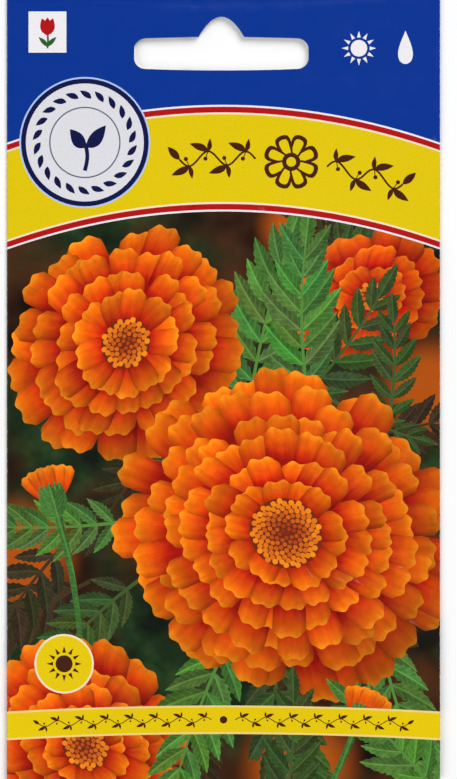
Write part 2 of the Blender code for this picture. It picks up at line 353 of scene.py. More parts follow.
def fold(flat, offset, pressed):
    """Folds places on the flat sheet into the packet, offset towards the printed side."""
    u, v = flat.T
    side = np.sign(u)
    side_past = np.abs(u) - FOLD_X
    foot_past = FOLD_Y - v
    side_turn = np.pi * np.clip(side_past / SIDE_ARC, 0.0, 1.0)
    foot_turn = np.pi * np.clip(foot_past / FOOT_ARC, 0.0, 1.0)
    reach = np.minimum(np.abs(u), FOLD_X) + SIDE_FOLD * np.sin(side_turn)
    x = side * (reach - np.maximum(side_past - SIDE_ARC, 0.0))
    y = np.maximum(v, FOLD_Y) - BOTTOM_FOLD * np.sin(foot_turn) + np.maximum(foot_past - FOOT_ARC, 0.0)
    front_x, front_y = np.clip(u, -FOLD_X, FOLD_X), np.maximum(v, FOLD_Y)
    top = front_height(front_x, front_y) + pressed * relief(front_x, front_y)
    flap = np.where(u > 0.0, outer_flap_height(y), inner_flap_height(x, y))
    z = top + (flap - top) * (1.0 - np.cos(side_turn)) / 2
    z += (PAPER / 2 - top) * (1.0 - np.cos(foot_turn)) / 2
    normal = columns(side * np.sin(side_turn), -np.sin(foot_turn), np.cos(side_turn) * np.cos(foot_turn))
    return (columns(x, y, z) + offset * normal) * MM


def sheet_outline():
    """The flat sheet's cut edge, counterclockwise."""
    right = [
        (FOOT_END_HALF, SHEET_END_V),
        (FOOT_HALF, TURN_V),
        (FOOT_HALF, FOLD_Y),
        (FOLD_X, FOLD_Y),
        (FOLD_X, NOTCH_Y),
        (SHEET_END_U, NOTCH_Y),
        (SHEET_END_U, HALF_LENGTH),
    ]
    return right + [(-u, v) for u, v in reversed(right)]


def slot_outline():
    """The hang slot as it is punched, counterclockwise."""
    half = SLOT_WIDTH / 2 - SLOT_CORNER
    low = SLOT_BOTTOM + SLOT_CORNER
    high = SLOT_TOP - SLOT_CORNER
    rise = ARCH_TOP - SLOT_TOP
    outline = [(share * ARCH_WIDTH / 2, SLOT_TOP + rise * (1.0 - share ** 2))
               for share in np.linspace(1.0, -1.0, ARCH_POINTS)]
    outline += slot_corner(-half, high, 90) + slot_corner(-half, low, 180)
    outline += [(x, SLOT_BOTTOM) for x in np.linspace(-half, half, EDGE_POINTS)[1:-1]]
    outline += slot_corner(half, low, 270) + slot_corner(half, high, 360)
    return [bowed(x, y) for x, y in outline]


def slot_corner(x, y, start):
    turns = np.radians(np.linspace(start, start + 90, CORNER_POINTS))
    return [(x + SLOT_CORNER * math.cos(turn), y + SLOT_CORNER * math.sin(turn)) for turn in turns]


def bowed(x, y):
    """Moves a place on the slot onto its bowed edges, and the slot to its centre."""
    middle = (SLOT_TOP + SLOT_BOTTOM) / 2
    narrowing = 2 * SLOT_BOW / (SLOT_TOP - SLOT_BOTTOM) * (x / (SLOT_WIDTH / 2)) ** 2
    return SLOT_CENTRE_X + x, middle + (y - middle) * (1.0 - narrowing)


def slot_copies():
    """The slot in the flat sheet's front, right flap and left flap."""
    slot = slot_outline()
    flaps = [[(side * BACK_TURN - x, y) for x, y in reversed(slot)] for side in (1, -1)]
    return [slot] + flaps


def chain(start, end, pitch):
    """A straight line in short pieces."""
    stops = np.linspace(start, end, int(math.dist(start, end) / pitch) + 2)
    points = [tuple(stop) for stop in stops]
    return list(zip(points, points[1:]))


def fold_lines(inset, pitch):
    """Lines along which the sheet bends, each cut back by inset at its ends, in short pieces."""
    low, high, foot = NOTCH_Y + inset, HALF_LENGTH - inset, FOOT_HALF - inset
    near, far = TURN_U + EDGE_CLEAR, SHEET_END_U - inset
    lines = []
    for step in range(FOLD_STEPS + 1):
        u = FOLD_X + SIDE_ARC * step / FOLD_STEPS
        v = FOLD_Y - FOOT_ARC * step / FOLD_STEPS
        lines += [((-u, low), (-u, high)), ((u, low), (u, high)), ((-foot, v), (foot, v))]
    for step in range(FLAP_STEPS + 1):
        u = -BACK_TURN + LAP_HALF + FLAP_RISE * step / FLAP_STEPS
        v = FLAP_EDGE_Y + FLAP_RISE * step / FLAP_STEPS
        lines += [((u, low), (u, high)), ((-near, v), (-far, v)), ((near, v), (far, v))]
    return [piece for start, end in lines for piece in chain(start, end, pitch)]


def grid(left, right, low, high, pitch):
    """Rows of points inside a box, every other row shifted by half a pitch."""
    points = []
    for row, v in enumerate(np.arange(low + EDGE_CLEAR, high - EDGE_CLEAR, pitch * ROW_SHARE)):
        shift = pitch / 2 if row % 2 else 0.0
        points += [(u, v) for u in np.arange(left + EDGE_CLEAR + shift, right - EDGE_CLEAR, pitch)]
    return points


def sheet_grid(front_pitch, back_pitch):
    points = grid(-FOLD_X, FOLD_X, FOLD_Y, HALF_LENGTH, front_pitch)
    points += grid(TURN_U, SHEET_END_U, NOTCH_Y, HALF_LENGTH, back_pitch)
    points += grid(-SHEET_END_U, -TURN_U, NOTCH_Y, HALF_LENGTH, back_pitch)
    return points + grid(-FOOT_END_HALF, FOOT_END_HALF, SHEET_END_V, TURN_V, back_pitch)


def cut_sheet(printed, inset, front_pitch, back_pitch, loop_points=(), loop_edges=()):
    """Cuts the sheet into triangles along printed outlines, folds and a loop.

    Gives places, triangles, the topmost outline on each triangle and the place of each loop point."""
    corners, faces, edges = [], [], []
    for outline in [sheet_outline()] + slot_copies() + printed:
        faces.append(list(range(len(corners), len(corners) + len(outline))))
        corners += outline
    for start, end in fold_lines(inset, front_pitch):
        edges.append((len(corners), len(corners) + 1))
        corners += [start, end]
    first = len(corners)
    edges += (np.array(loop_edges) + first).tolist()
    corners += [tuple(point) for point in loop_points]
    loop = range(first, len(corners))
    corners = [Vector(corner) for corner in corners + sheet_grid(front_pitch, back_pitch)]
    places, _, triangles, origins, _, covers = delaunay_2d_cdt(
        corners, edges, faces, WHOLE_HULL, MERGE, True)
    kept = [at for at, cover in enumerate(covers) if OUTLINE in cover and not SLOTS & set(cover)]
    topmost = np.array([max(covers[at]) for at in kept])
    matched = {corner - first: at for at, origin in enumerate(origins) for corner in origin if corner in loop}
    return np.array([tuple(place) for place in places]), np.array(triangles)[kept], topmost, matched


# What printed shapes are made with

class Print:
    """The printed shapes, lowest first. Each knows how its colour runs inside it."""

    def __init__(self):
        self.outlines = []
        self.looks = []

    def add(self, outline, ink, kind=FLAT, run=None, variation=0.0, light=None):
        outline = np.asarray(outline, dtype=float)
        following = np.roll(outline, -1, axis=0)
        turn = np.sum(outline[:, 0] * following[:, 1] - following[:, 0] * outline[:, 1])
        self.outlines.append((outline if turn > 0.0 else outline[::-1]).tolist())
        self.looks.append((ink, kind, run, variation, light))


class BackPrint:
    """Draws on the back in its own x and y, on whichever flap lies there."""

    def __init__(self, sheet):
        self.sheet = sheet

    def add(self, outline, ink):
        x, y = np.asarray(outline, dtype=float).T
        for side in (-1, 1):
            u = side * BACK_TURN - x
            if np.min(np.abs(u)) < SHEET_END_U and np.min(side * u) > 0.0:
                self.sheet.add(columns(u, y), ink)


class Limb:
    """A petal's or leaf's own axes: out along it and across it, bending to one side as it runs."""

    def __init__(self, base, angle, length, width, bend=0.0):
        self.base = base
        self.out = np.array((math.cos(angle), math.sin(angle)))
        self.over = np.array((-math.sin(angle), math.cos(angle)))
        self.length = length
        self.width = width
        self.bend = bend

    def place(self, along, across):
        along = np.asarray(along) * self.length
        across = np.asarray(across) * self.width + self.bend * along ** 2 / self.length
        return self.base + along[:, None] * self.out + across[:, None] * self.over

    def find(self, points):
        apart = points - self.base
        along = apart @ self.out
        across = apart @ self.over - self.bend * along ** 2 / self.length
        return along / self.length, across / self.width


class Tilt:
    """A bloom's plane, seen at a slant: squashed along one direction."""

    def __init__(self, centre, turn, squash):
        cosine, sine = math.cos(turn), math.sin(turn)
        spin = np.array(((cosine, -sine), (sine, cosine)))
        self.centre = centre
        self.matrix = spin @ np.diag((1.0, squash)) @ spin.T
        self.inverse = np.linalg.inv(self.matrix)

    def out(self, points):
        return self.centre + points @ self.matrix.T

    def back(self, points):
        return (points - self.centre) @ self.inverse.T


def box(left, low, right, high):
    return [(left, low), (right, low), (right, high), (left, high)]


def ring(centre, radius, count, start=0.0):
    turns = start + math.tau * np.arange(count) / count
    return columns(centre[0] + radius * np.cos(turns), centre[1] + radius * np.sin(turns))


def stroke(path, width):
    """The outline of a line along a path. width may be one value or one a point."""
    path = np.asarray(path, dtype=float)
    run = np.gradient(path, axis=0)
    run /= np.linalg.norm(run, axis=1)[:, None]
    over = columns(-run[:, 1], run[:, 0]) * np.broadcast_to(width, len(path))[:, None] / 2
    return np.concatenate([path - over, (path + over)[::-1]])


def petal_outline(limb, teeth=3, notch=0.14):
    """Narrow at its base and widest near its toothed, rounded tip."""
    cap = min(0.4, 0.75 * limb.width / limb.length)
    along = np.linspace(0.0, 1.0 - cap, 7)
    half = 0.34 + 0.66 * np.sin(np.pi / 2 * along / along[-1]) ** 1.2
    turn = np.linspace(-np.pi / 2, np.pi / 2, 6 * teeth + 1)[1:-1]
    tip = 1.0 - cap + cap * np.cos(turn) ** 0.75 * (1.0 - notch * (1.0 + np.cos(2 * teeth * turn)))
    return np.concatenate([
        limb.place(along, -half),
        limb.place(tip, np.sin(turn)),
        limb.place(along[::-1], half[::-1]),
    ])


def leaf_outline(limb, teeth=7, depth=0.11):
    """A pointed leaf with saw teeth that lean towards its tip."""
    along = np.linspace(0.0, 1.0, 2 * teeth + 2)
    half = np.sin(np.pi * along ** 0.85) ** 0.9
    half[1:-1:2] *= 1.0 + depth
    half[2:-1:2] *= 1.0 - depth
    half[0] = 0.08
    return np.concatenate([limb.place(along[:-1], -half[:-1]), limb.place(along[::-1], half[::-1])])


def rings(sheet, centre, parts):
    """Round shapes on one centre, each with its radius, corners and ink."""
    for radius, count, ink in parts:
        sheet.add(ring(centre, radius, count), ink)


def flat_leaf(sheet, ink, steps, *limb):
    """A leaf in one flat ink, with no teeth, where limb says."""
    sheet.add(leaf_outline(Limb(*limb), steps, 0.0), ink)


def tulip_cup(sheet, base, length, width, ink):
    for lean in (-0.32, 0.32, 0.0):
        flat_leaf(sheet, ink, 5, base, math.pi / 2 + lean, length, width)


# Leaves and blooms

def shaded_leaf(sheet, draw, tone, *limb):
    limb = Limb(*limb)
    sheet.add(leaf_outline(limb), tone, LEAF, limb.find, draw.random())


def spray(sheet, draw, base, angle, length, tone, pairs=6, bend=0.15):
    """A feathered leaf: pairs of toothed leaflets along a bent stalk, and one at its end."""
    stalk = Limb(base, angle, length, 1.0, bend)
    path = stalk.place(np.linspace(0.0, 1.0, 9), np.zeros(9))
    for pair in range(pairs):
        share = 0.18 + 0.74 * pair / (pairs - 1)
        at = stalk.place([share], [0.0])[0]
        lean = angle + 2 * math.atan(bend * share)
        size = length * (0.34 - 0.16 * abs(share - 0.45)) * draw.uniform(0.9, 1.15)
        for side in (-1, 1):
            turned = lean + side * (1.0 - 0.35 * share) + draw.uniform(-0.12, 0.12)
            shade = tuple(part * draw.uniform(0.75, 1.25) for part in tone)
            shaded_leaf(sheet, draw, shade, at, turned, size, size * 0.17, -side * 0.12)
    end_turn = angle + 2 * math.atan(bend)
    shaded_leaf(sheet, draw, tone, path[-1], end_turn, length * 0.3, length * 0.05)
    sheet.add(stroke(path, np.linspace(0.75, 0.3, 9)), tuple(part * 1.5 for part in tone))


def bloom(sheet, draw, centre, radius, rows, squash, turn, tint=FULL_TINT):
    """A rosette: rows of petals from the outermost in, then a domed disc of tiny florets."""
    tilt = Tilt(centre, turn, squash)
    towards_light = np.array((-0.6, 0.8))

    def lit(points):
        place = tilt.back(points) / radius
        out = np.linalg.norm(place, axis=1)
        return 1.04 + 0.22 * place @ towards_light - 0.16 * out ** 2

    tips = [share for count, share in rows] + [0.2]
    for row, (count, share) in enumerate(rows):
        hidden = 0.86 * tips[row + 1] / share
        offset = draw.random()
        for at in draw.sample(range(count), count):
            angle = math.tau * (at + offset + draw.uniform(-0.18, 0.18)) / count
            length = radius * share * draw.uniform(0.93, 1.06)
            width = math.pi * radius * share * 0.8 / count * draw.uniform(1.15, 1.45)
            limb = Limb((0.0, 0.0), angle, length, width, draw.uniform(-0.1, 0.1))

            def run(points, limb=limb, hidden=hidden):
                along, across = limb.find(tilt.back(points))
                return (along - hidden) / (1.0 - hidden), across

            def domed(points, limb=limb, level=draw.uniform(0.86, 1.12)):
                facing = (tilt.matrix @ limb.over) @ towards_light
                return level * lit(points) + 0.16 * facing * limb.find(tilt.back(points))[1]

            sheet.add(tilt.out(petal_outline(limb)), tint, PETAL, run, draw.random(), domed)
    florets(sheet, draw, tilt, radius * 0.2)


def florets(sheet, draw, tilt, radius):
    """The disc: a dark ground, and small round florets on a spiral, brighter towards its rim."""
    sheet.add(tilt.out(ring((0.0, 0.0), radius * 1.06, 40)), FLORET_GROUND)
    count = max(int(radius ** 2 * 3.2), 24)
    for at in range(count):
        out = math.sqrt((at + 0.5) / count)
        turn = at * math.pi * (3.0 - math.sqrt(5.0))
        size = radius * (0.8 / math.sqrt(count)) * (0.8 + 0.5 * out)
        place = np.array((math.cos(turn), math.sin(turn))) * out * radius
        glow = 0.35 + 0.65 * out + draw.uniform(-0.12, 0.12)
        sheet.add(tilt.out(ring(place, size, 7, turn)), (0.85 * glow, 0.23 * glow ** 2, 0.008))


def soft_bloom(sheet, centre, radius):
    """A bloom far behind, out of focus: it fades out from its middle."""
    def run(points):
        return np.linalg.norm(points - centre, axis=1) / radius, np.zeros(len(points))

    sheet.add(ring(centre, radius, 40), FAR_ORANGE, SOFT, run)


def bud(sheet, draw, centre, angle, size):
    """An opening bud: a fan of short petals out of a ribbed green cup, on its long stalk."""
    cup = Limb(centre, angle, size, size * 0.36)
    stalk = [cup.place([share], [0.08 * share ** 2])[0] for share in np.linspace(-5.5, 0.1, 18)]
    sheet.add(stroke(stalk, np.linspace(0.8, 1.3, 18)), STALK_GREEN, LEAF, cup.find, 0.5)
    for spread in (-0.5, 0.45, -0.28, 0.24, 0.0):
        limb = Limb(cup.place([0.45], [spread * 0.8])[0], angle + spread, size * 1.05, size * 0.26)
        sheet.add(petal_outline(limb), BUD_TINT, PETAL, limb.find, draw.random())
    for spread in (-0.75, 0.75, -0.4, 0.4, 0.0):
        limb = Limb(cup.place([0.0], [spread * 0.3])[0], angle + spread * 0.3, size, size * 0.2)
        sheet.add(leaf_outline(limb, 4, 0.0), CUP_GREEN, LEAF, limb.find, draw.random())


# Ornaments and signs

def vine(sheet, u, level, swing, bends, leaf):
    """A line ornament: a waving stem, with two leaves out of each bend and a berry inside it."""
    share = np.linspace(0.0, 1.0, len(u))
    path = columns(u, level + swing * np.sin(math.pi * bends * share))
    sheet.add(stroke(path, 0.1 * leaf), BROWN)
    run = np.gradient(path, axis=0)
    headings = np.arctan2(run[:, 1], run[:, 0])
    ahead = np.sign(u[-1] - u[0])
    for bend in range(bends):
        at = round((bend + 0.5) / bends * (len(u) - 1))
        side = ahead * (-1) ** bend
        for lean, part in VINE_LEAVES:
            size = leaf * part
            turn = headings[at] + side * lean
            flat_leaf(sheet, BROWN, 5, path[at], turn, size, size * VINE_LEAF_WIDTH, side * -0.2)
        turn = headings[at] - side * 1.2
        berry = path[at] + np.array((math.cos(turn), math.sin(turn))) * leaf * 0.4
        sheet.add(stroke([path[at], (path[at] + berry) / 2, berry], 0.05 * leaf), BROWN)
        sheet.add(ring(berry, leaf * 0.11, 12), BROWN)
    flat_leaf(sheet, BROWN, 5, path[-1], headings[-1], leaf * 0.9, leaf * VINE_LEAF_WIDTH)


def vine_pair(sheet, centre_u, level, rise, stops, swing, bends, leaf):
    """Two vines that run out from centre_u, along an arc."""
    for side in (-1, 1):
        u = centre_u + side * np.linspace(*stops)
        vine(sheet, u, arc_level(u, level, rise), swing, bends, leaf)


def sun_sign(sheet, centre, radius, ink, rays=12):
    sheet.add(ring(centre, radius * 0.48, 24), ink)
    for ray in range(rays):
        limb = Limb(centre, math.tau * ray / rays, radius, radius * 0.11)
        sheet.add(limb.place([0.62, 0.62, 1.0], [-1.0, 1.0, 0.0]), ink)


def drop_sign(sheet, centre, radius, ink):
    turn = np.linspace(0.0, math.tau, 28, endpoint=False)
    across = 0.62 * radius * np.sin(turn) * np.sin(turn / 2) ** 1.4
    sheet.add(columns(centre[0] + across, centre[1] + radius * np.cos(turn)), ink)


def sprout_sign(sheet, centre, radius, ink):
    x, y = centre
    stem = [(x + 0.1 * radius * math.sin(3 * share), y - radius * (1.0 - 1.1 * share))
            for share in np.linspace(0.0, 1.0, 8)]
    sheet.add(stroke(stem, 0.16 * radius), ink)
    for side, size in ((-1, 0.95), (1, 1.15)):
        turn = math.pi / 2 - side * 0.95
        flat_leaf(sheet, ink, 6, stem[-2], turn, radius * size, radius * 0.27, side * 0.22)


def tulip_sign(sheet, centre, radius, ink):
    x, y = centre
    sheet.add(stroke([(x, y - radius), (x, y - 0.4 * radius), (x, y)], 0.14 * radius), ink)
    tulip_cup(sheet, (x, y - 0.15 * radius), 1.15 * radius, 0.28 * radius, ink)


# The front's print

def arc_level(u, level, rise):
    """A curve's height at u: risen at the front's middle, and level round the sides."""
    return level + rise * np.maximum(1.0 - (np.asarray(u) / HALF_WIDTH) ** 2, 0.0)


def arc_edge(u, level, rise):
    return columns(u, arc_level(u, level, rise))


def across(reach):
    """Places from left to right, as far as reach on each side."""
    return np.unique(np.concatenate([np.linspace(-HALF_WIDTH, HALF_WIDTH, 33), (-reach, reach)]))


def strips(sheet, rise, reach, rows):
    """Bands one over another, each with its lower level, its upper one and its ink."""
    u = across(reach)
    for low, high, ink in rows:
        sheet.add(np.concatenate([arc_edge(u, low, rise), arc_edge(u, high, rise)[::-1]]), ink)


def header(sheet):
    corners = [(WHOLE, HALF_LENGTH + 1.0), (-WHOLE, HALF_LENGTH + 1.0)]
    sheet.add(np.concatenate([arc_edge(across(WHOLE), BAND_TOP, ARC_RISE), corners]), BLUE)


def band(sheet):
    """The yellow band between its pinstripes and red stripes, across the packet in an arc."""
    inner = BAND_TOP - RED_STRIPE
    outer = BAND_BOTTOM + RED_STRIPE
    strips(sheet, ARC_RISE, WHOLE, (
        (BAND_BOTTOM - PINSTRIPE, BAND_TOP + PINSTRIPE, WHITE),
        (BAND_BOTTOM, BAND_TOP, RED),
        (outer, inner, PALE),
        (outer + PINSTRIPE, inner - PINSTRIPE, YELLOW),
    ))


def ornament(sheet):
    """A blossom between two vines, along the band's middle."""
    middle = (BAND_TOP + BAND_BOTTOM) / 2
    vine_pair(sheet, BLOSSOM_X, middle, ARC_RISE, *BAND_VINE)
    centre = (BLOSSOM_X, arc_level(BLOSSOM_X, middle, ARC_RISE))
    for petal in range(BLOSSOM_PETALS):
        turn = math.tau * (petal + 0.5) / BLOSSOM_PETALS
        for length, width, ink in BLOSSOM_PARTS:
            sheet.add(petal_outline(Limb(centre, turn, length, width), 1, 0.0), ink)
    rings(sheet, centre, ((1.7, 24, BROWN), (0.9, 16, YELLOW)))


def roundel(sheet):
    """A pale disc in a dark ring, with a sprout inside a wreath of small leaves."""
    rings(sheet, ROUNDEL, ((12.1, 64, SKY), (11.8, 64, NAVY), (10.9, 64, DISC)))
    for leaf, base in enumerate(ring(ROUNDEL, WREATH_RADIUS, WREATH_LEAVES)):
        flat_leaf(sheet, NAVY, 4, base, math.tau * leaf / WREATH_LEAVES + 0.9, 2.5, 0.55, 0.2)
    rings(sheet, ROUNDEL, ((6.6, 48, SLATE), (6.35, 48, DISC)))
    sprout_sign(sheet, ROUNDEL_SPROUT, 4.6, NAVY)


def header_signs(sheet):
    """White pictograms for light and water, and a tulip in a white frame, on the header."""
    sun_sign(sheet, HEADER_SUN, 3.2, WHITE)
    drop_sign(sheet, HEADER_DROP, 3.1, WHITE)
    sheet.add(box(*TULIP_FRAME), WHITE)
    x, y = TULIP
    sheet.add(stroke([(x, y - 3.0), (x + 0.1, y - 1.5), (x, y)], 0.35), GREEN)
    for side in (-1, 1):
        flat_leaf(sheet, GREEN, 4, (x, y - 2.7), math.pi / 2 - side * 0.6, 2.4, 0.42, side * -0.15)
    tulip_cup(sheet, (x, y - 0.6), 3.3, 0.85, RED)


def footer(sheet):
    """The thin yellow strip near the foot, with a running vine on it."""
    strips(sheet, FOOTER_RISE, BLEED, (
        (FOOTER_BOTTOM - PINSTRIPE, FOOTER_TOP + PINSTRIPE, CREAM),
        (FOOTER_BOTTOM, FOOTER_TOP, GOLD),
    ))
    middle = (FOOTER_TOP + FOOTER_BOTTOM) / 2
    vine_pair(sheet, 0.0, middle, FOOTER_RISE, *FOOTER_VINE)
    sheet.add(ring((0.0, middle + FOOTER_RISE), 0.7, 16), BROWN)


def sun_disc(sheet):
    rings(sheet, SUN_DISC, ((5.5, 48, PALE), (5.15, 48, GOLD)))
    sun_sign(sheet, SUN_DISC, 3.3, BROWN)


# What the picture shows, from the farthest to the nearest, as each function takes it
PICTURE = (
    (bloom, (27, 17), 15, ((15, 1), (13, 0.74), (10, 0.48)), 0.8, 0.5, FAR_TINT),
    (spray, (4, -8), 1.45, 34, NEAR_GREEN, 8, -0.1),
    (spray, (12, -4), 0.75, 26, MIDDLE_GREEN),
    (spray, (16, -4), 1.75, 30, NEAR_GREEN, 8, -0.15),
    (spray, (30, -8), 1.35, 20, MIDDLE_GREEN),
    (spray, (-16, -24), 3.3, 24, NEAR_GREEN, 7, -0.1),
    (spray, (-14, -34), 3.75, 26, MIDDLE_GREEN, 7),
    (bud, (-30.5, -23.5), 1.85, 6.5),
    (bloom, (-25.5, -66), 21.5, ((17, 1), (16, 0.8), (14, 0.6), (11, 0.4)), 0.86, 2.4),
    (bloom, (-18, 8.5), 23, ((21, 1), (20, 0.82), (17, 0.64), (13, 0.46)), 0.9, 0.9),
    (spray, (2, -44), 4.25, 30, NEAR_GREEN, 7, 0.1),
    (spray, (9, -46), 4.75, 32, MIDDLE_GREEN, 7),
    (spray, (28, -42), 4.9, 30, NEAR_GREEN, 7, 0.1),
    (bloom, (11.5, -26.5), 32.5, LARGE_ROWS, 0.92, 2.6),
    (spray, (42, -78), 2.2, 26, NEAR_GREEN, 7, 0.1),
    (spray, (10, -82), 1.3, 24, MIDDLE_GREEN),
    (bud, (24, -63.5), 1.2, 6),
)


def picture(sheet, draw):
    """Orange blooms over dark foliage that is strewn at random."""
    edge = arc_edge(np.linspace(BLEED, -BLEED, 33), BAND_BOTTOM, ARC_RISE)
    foot = [(-BLEED, FOOT_BLEED), (BLEED, FOOT_BLEED)]
    sheet.add(np.concatenate([edge, foot]), FULL_TINT, BACKDROP)
    for centre, radius in SOFT_BLOOMS:
        soft_bloom(sheet, centre, radius)
    for tone, count, size in STREWN:
        for _ in range(count):
            base = (draw.uniform(*STREWN_X), draw.uniform(*STREWN_Y))
            spray(sheet, draw, base, draw.uniform(0.0, math.tau), size * draw.uniform(0.8, 1.2), tone)
    for shape, *row in PICTURE:
        shape(sheet, draw, *row)


# The back's print

def back_paper(sheet):
    """The pale paper of the back, over the ends of the bled print."""
    for side in (-1, 1):
        sheet.add(box(side * BLEED, NOTCH_Y - 2.0, side * WHOLE, BAND_TOP), PAPER_WHITE)
    sheet.add(box(-FOOT_HALF - 1.0, SHEET_END_V - 1.0, FOOT_HALF + 1.0, FOOT_BLEED), PAPER_WHITE)


def care_signs(back):
    """Signs for sun, water, growth and flowering, each in a ring."""
    for x, sign in ((27.0, sun_sign), (13.5, drop_sign), (0.0, sprout_sign), (-13.5, tulip_sign)):
        rings(back, (x, SIGNS_Y), ((5.8, 40, GREEN), (5.3, 40, PAPER_WHITE)))
        sign(back, (x, SIGNS_Y), 3.7, GREEN)


def calendar(back):
    """A year's months in a row for sowing and one for bloom, with the right ones filled."""
    for row, (first, last, ink) in enumerate(MONTH_ROWS):
        low = MONTHS_Y - MONTH_HEIGHT * row
        for month in range(MONTHS):
            right = BACK_HALF - MONTH_WIDTH * month
            inks = (GREY, PAPER_WHITE, ink) if first <= month <= last else (GREY, PAPER_WHITE)
            for (far, foot, near, head), tone in zip(MONTH_BOXES, inks):
                back.add(box(right - far, low + foot, right - near, low + head), tone)


def seed_bed(back):
    """A bed of soil with a row of seeds, each further grown than the one before."""
    x = np.linspace(-BACK_HALF, BACK_HALF, 45)
    soil = columns(x, SOIL_TOP + 0.5 * np.sin(0.6 * x))
    back.add(np.concatenate([[(-BACK_HALF, SOIL_FOOT)], [(BACK_HALF, SOIL_FOOT)], soil[::-1]]), SOIL)
    for place, size in SEEDLINGS:
        back.add(ring((place, SEEDLINGS_Y), 0.9, 14), STRAW)
        if size:
            root = [(place, SEEDLINGS_Y), (place + 0.2, SEEDLINGS_Y + 2.0), (place, SOIL_TOP + 0.4)]
            back.add(stroke(root, 0.4), GREEN)
            sprout_sign(back, (place, SOIL_TOP + size), size, GREEN)


def back_print(sheet):
    back = BackPrint(sheet)
    for part in (care_signs, calendar, seed_bed):
        part(back)
    for y in RULES_Y:
        back.add(box(-BACK_HALF, y, BACK_HALF, y + RULE_WIDTH), GREY)


def draw_print():
    sheet = Print()
    picture(sheet, random.Random(PRINT_DRAW))
    for part in (back_paper, back_print, header, band, ornament, roundel, header_signs, footer, sun_disc):
        part(sheet)
    return sheet


# The sheet's mesh

def border(triangles):
    """The edges that only one triangle has, each in that triangle's direction."""
    edges = [(a, b) for ends in ([0, 1], [1, 2], [2, 0]) for a, b in triangles[:, ends].tolist()]
    paired = set(edges)
    return [(a, b) for a, b in edges if (b, a) not in paired]


def compact(faces):
    """The corners that faces or edges use, and these as numbers of those."""
    used, numbers = np.unique(faces, return_inverse=True)
    return used, numbers.reshape(np.shape(faces))


def printed_face(sheet):
    """The printed side: its places, its triangles and the topmost shape on each."""
    places, triangles, topmost, _ = cut_sheet(sheet.outlines, 0.0, FRONT_GRID, BACK_GRID)
    used, triangles = compact(triangles)
    return places[used], triangles, topmost - FIRST_PRINTED


def inside_face(places, edges):
    """The sheet's inner side: a plainer layer on the same border."""
    rim, loop = compact(edges)
    inner, triangles, _, matched = cut_sheet([], EDGE_CLEAR, INSIDE_GRID, INSIDE_GRID, places[rim], loop)
    return inner, triangles[:, ::-1], {rim[number]: at for number, at in matched.items()}


def rim_faces(edges, matched, inner_start):
    """Two triangles along each cut edge, between the printed side and the inner one."""
    rim = []
    for a, b in edges:
        inner_a, inner_b = matched[a] + inner_start, matched[b] + inner_start
        rim += [(b, a, inner_a), (b, inner_a, inner_b)]
    return np.array(rim)


def store(mesh, name, domain, values):
    sort, field = STORED[values.shape[-1]]
    mesh.attributes.new(name, sort, domain).data.foreach_set(field, values.astype(np.float32).ravel())


def add_print_layers(mesh, sheet, places, triangles, shapes):
    """Stores each corner's ink, kind, run and light. The printed faces come first, the rest keep 0."""
    ink, kind, run, light = (np.zeros((len(mesh.polygons), 3, parts)) for parts in (4, 1, 3, 1))
    order = np.argsort(shapes, kind="stable")
    starts = np.searchsorted(shapes[order], np.arange(len(sheet.looks) + 1))
    for shape, (tone, sort, course, variation, lit) in enumerate(sheet.looks):
        chosen = order[starts[shape]:starts[shape + 1]]
        points = places[triangles[chosen]].reshape(-1, 2)
        ink[chosen] = (*tone, 1.0)
        kind[chosen] = sort
        run[chosen, :, 2] = variation
        if course:
            run[chosen, :, :2] = columns(*course(points)).reshape(-1, 3, 2)
        light[chosen] = lit(points).reshape(-1, 3, 1) if lit else 1.0
    for name, values in (("ink", ink), ("kind", kind), ("run", run), ("light", light)):
        store(mesh, name, "CORNER", values)


def bake_places(places, triangles, inner_places, inner_triangles, edges):
    """Every corner's place on the map for baking, most of which the front gets."""
    outer = columns(np.interp(places[:, 0], *MAP_ACROSS), np.interp(places[:, 1], *MAP_UP))
    inner = (inner_places + (SHEET_END_U, -SHEET_END_V)) * MAP_INSIDE_SCALE + MAP_INSIDE
    starts, ends = places[np.array(edges).T]
    lengths = np.linalg.norm(ends - starts, axis=1) * MAP_EDGE_SCALE
    along = np.cumsum(lengths) - lengths
    left = MAP_EDGES[0] + along % MAP_EDGE_RUN
    low = MAP_EDGES[1] + along // MAP_EDGE_RUN * MAP_EDGE_ROW
    right, high = left + lengths, low + MAP_EDGE_ROW / 2
    a, b, inner_a, inner_b = (left, low), (right, low), (left, high), (right, high)
    rim = np.array([(b, a, inner_a), (b, inner_a, inner_b)]).transpose(3, 0, 1, 2)
    faces = outer[triangles], inner[inner_triangles], rim
    return np.concatenate([part.reshape(-1, 2) for part in faces])


def put(name, data):
    """A new object in the scene."""
    made = bpy.data.objects.new(name, data)
    bpy.context.scene.collection.objects.link(made)
    return made


